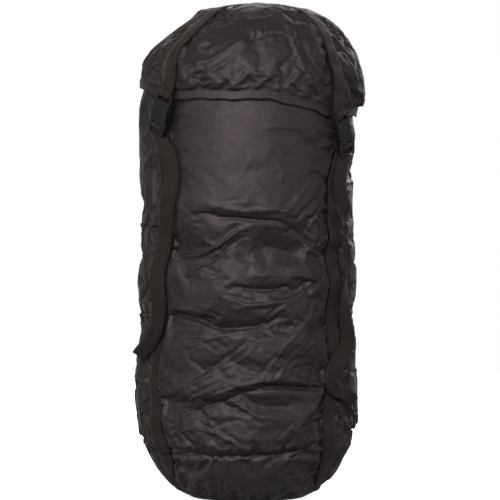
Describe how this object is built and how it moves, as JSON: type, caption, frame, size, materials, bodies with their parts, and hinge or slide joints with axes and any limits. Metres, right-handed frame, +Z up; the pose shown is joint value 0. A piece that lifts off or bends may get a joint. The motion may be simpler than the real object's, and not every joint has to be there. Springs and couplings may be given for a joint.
{
  "type": "compression sack",
  "caption": "Tall round stuff sack of ripstop fabric whose domed lid is pulled down by webbing straps with side-release buckles.",
  "frame": {"origin": "centre of the flat base panel, on the surface that the sack stands on", "axes": "+Z up through the crown of the lid, -Y towards the front, where the two visible buckles are"},
  "size_m": [0.298, 0.298, 0.6618],
  "materials": {
    "ripstop": "silky woven ripstop with a soft sheen",
    "ripstop_dark": "silky woven ripstop, doubled",
    "webbing": "matt ribbed webbing",
    "cord": "matt braid",
    "buckle_plastic": "satin moulded",
    "lock_plastic": "matt moulded",
    "eyelet_metal": "black lacquer",
    "spring_steel": "drawn wire"
  },
  "bodies": {
    "sack_bottom": {"base_panel": "ripstop_dark", "bottom_cap": "ripstop", "side_wall_1": "ripstop", "base_strap_front_left": "webbing", "base_strap_front_right": "webbing", "base_strap_back_left": "webbing", "base_strap_back_right": "webbing", "side_strap_front_left": "webbing", "side_strap_front_right": "webbing", "side_strap_back_left": "webbing", "side_strap_back_right": "webbing"},
    "wall_2": {"side_wall_2": "ripstop"},
    "wall_3": {"side_wall_3": "ripstop"},
    "wall_4": {"side_wall_4": "ripstop"},
    "mouth": {"side_wall_5": "ripstop", "mouth_hem": "ripstop_dark", "cord_eyelet": "eyelet_metal", "drawcord": "cord", "cord_end_knot": "cord"},
    "cord_lock": {"cord_lock_barrel": "lock_plastic", "cord_lock_spring": "spring_steel"},
    "lock_plunger": {"cord_lock_plunger": "lock_plastic"},
    "lid": {"lid_shell": "ripstop", "lid_hem": "ripstop_dark", "lid_strap_a": "webbing", "lid_strap_b": "webbing", "buckle_socket_front_left": "buckle_plastic", "buckle_socket_front_right": "buckle_plastic", "buckle_socket_back_left": "buckle_plastic", "buckle_socket_back_right": "buckle_plastic"},
    "plug_front_left": {"buckle_plug_front_left": "buckle_plastic", "strap_tail_front_left": "webbing"},
    "plug_front_right": {"buckle_plug_front_right": "buckle_plastic", "strap_tail_front_right": "webbing"},
    "plug_back_left": {"buckle_plug_back_left": "buckle_plastic", "strap_tail_back_left": "webbing"},
    "plug_back_right": {"buckle_plug_back_right": "buckle_plastic", "strap_tail_back_right": "webbing"},
    "arm_l_front_left": {"latch_arm_l_front_left": "buckle_plastic"},
    "arm_r_front_left": {"latch_arm_r_front_left": "buckle_plastic"},
    "arm_l_front_right": {"latch_arm_l_front_right": "buckle_plastic"},
    "arm_r_front_right": {"latch_arm_r_front_right": "buckle_plastic"},
    "arm_l_back_left": {"latch_arm_l_back_left": "buckle_plastic"},
    "arm_r_back_left": {"latch_arm_r_back_left": "buckle_plastic"},
    "arm_l_back_right": {"latch_arm_l_back_right": "buckle_plastic"},
    "arm_r_back_right": {"latch_arm_r_back_right": "buckle_plastic"}
  },
  "joints": [
    {"name": "compress", "type": "slide", "parent": "sack_bottom", "child": "mouth", "axis": [0, 0, -1], "range_m": [0, 0.125], "deforming": ["side_strap_front_left", "side_strap_front_right", "side_strap_back_left", "side_strap_back_right"]},
    {"name": "wall_2_gather", "type": "slide", "parent": "sack_bottom", "child": "wall_2", "axis": [0, 0, -1], "range_m": [0, 0.03125]},
    {"name": "wall_3_gather", "type": "slide", "parent": "sack_bottom", "child": "wall_3", "axis": [0, 0, -1], "range_m": [0, 0.0625]},
    {"name": "wall_4_gather", "type": "slide", "parent": "sack_bottom", "child": "wall_4", "axis": [0, 0, -1], "range_m": [0, 0.09375]},
    {"name": "lid_lift", "type": "slide", "parent": "mouth", "child": "lid", "axis": [0, 0, 1], "range_m": [0, 0.1]},
    {"name": "cord_lock_slide", "type": "slide", "parent": "mouth", "child": "cord_lock", "axis": [0, 0, 1], "range_m": [0, 0.012]},
    {"name": "cord_lock_press", "type": "slide", "parent": "cord_lock", "child": "lock_plunger", "axis": [-1, 0, 0], "range_m": [0, 0.004], "stiffness_N_per_m": 300, "springref_m": -0.003, "deforming": ["cord_lock_spring"]},
    {"name": "unclip_front_left", "type": "slide", "parent": "lid", "child": "plug_front_left", "axis": [-0.26, 0.2467, -0.9336], "range_m": [0, 0.024], "deforming": ["latch_arm_l_front_left", "latch_arm_r_front_left"]},
    {"name": "unclip_front_right", "type": "slide", "parent": "lid", "child": "plug_front_right", "axis": [0.184, 0.2272, -0.9563], "range_m": [0, 0.024], "deforming": ["latch_arm_l_front_right", "latch_arm_r_front_right"]},
    {"name": "unclip_back_left", "type": "slide", "parent": "lid", "child": "plug_back_left", "axis": [0.0767, 0.0947, -0.9925], "range_m": [0, 0.024], "deforming": ["latch_arm_l_back_left", "latch_arm_r_back_left"]},
    {"name": "unclip_back_right", "type": "slide", "parent": "lid", "child": "plug_back_right", "axis": [-0.0758, 0.072, -0.9945], "range_m": [0, 0.024], "deforming": ["latch_arm_l_back_right", "latch_arm_r_back_right"]},
    {"name": "latch_press_front_left", "type": "hinge", "parent": "plug_front_left", "child": "arm_l_front_left", "pos_m": [-0.11995, -0.09848, 0.5051], "axis": [0.6884, 0.7254, 0], "range_deg": [0, 14], "stiffness_Nm_per_rad": 0.1},
    {"name": "latch_follow_front_left", "type": "hinge", "parent": "plug_front_left", "child": "arm_r_front_left", "pos_m": [-0.1087, -0.10915, 0.49915], "axis": [-0.6884, -0.7254, 0], "range_deg": [0, 14], "stiffness_Nm_per_rad": 0.1},
    {"name": "latch_press_front_right", "type": "hinge", "parent": "plug_front_right", "child": "arm_l_front_right", "pos_m": [0.12057, -0.09581, 0.47397], "axis": [-0.7771, 0.6293, 0], "range_deg": [0, 14], "stiffness_Nm_per_rad": 0.1},
    {"name": "latch_follow_front_right", "type": "hinge", "parent": "plug_front_right", "child": "arm_r_front_right", "pos_m": [0.13056, -0.08348, 0.47883], "axis": [0.7771, -0.6293, 0], "range_deg": [0, 14], "stiffness_Nm_per_rad": 0.1},
    {"name": "latch_press_back_left", "type": "hinge", "parent": "plug_back_left", "child": "arm_l_back_left", "pos_m": [-0.11204, 0.10635, 0.48425], "axis": [0.7771, -0.6293, 0], "range_deg": [0, 14], "stiffness_Nm_per_rad": 0.1},
    {"name": "latch_follow_back_left", "type": "hinge", "parent": "plug_back_left", "child": "arm_r_back_left", "pos_m": [-0.12241, 0.09354, 0.48223], "axis": [-0.7771, 0.6293, 0], "range_deg": [0, 14], "stiffness_Nm_per_rad": 0.1},
    {"name": "latch_press_back_right", "type": "hinge", "parent": "plug_back_right", "child": "arm_l_back_right", "pos_m": [0.10957, 0.10833, 0.48431], "axis": [-0.6884, -0.7254, 0], "range_deg": [0, 14], "stiffness_Nm_per_rad": 0.1},
    {"name": "latch_follow_back_right", "type": "hinge", "parent": "plug_back_right", "child": "arm_r_back_right", "pos_m": [0.09759, 0.11969, 0.48604], "axis": [0.6884, 0.7254, 0], "range_deg": [0, 14], "stiffness_Nm_per_rad": 0.1}
  ],
  "couplings": [
    {"joint": "wall_2_gather", "follows": "compress", "ratio": 0.25},
    {"joint": "wall_3_gather", "follows": "compress", "ratio": 0.5},
    {"joint": "wall_4_gather", "follows": "compress", "ratio": 0.75},
    {"joint": "latch_follow_front_left", "follows": "latch_press_front_left", "ratio": 1},
    {"joint": "latch_follow_front_right", "follows": "latch_press_front_right", "ratio": 1},
    {"joint": "latch_follow_back_left", "follows": "latch_press_back_left", "ratio": 1},
    {"joint": "latch_follow_back_right", "follows": "latch_press_back_right", "ratio": 1}
  ]
}
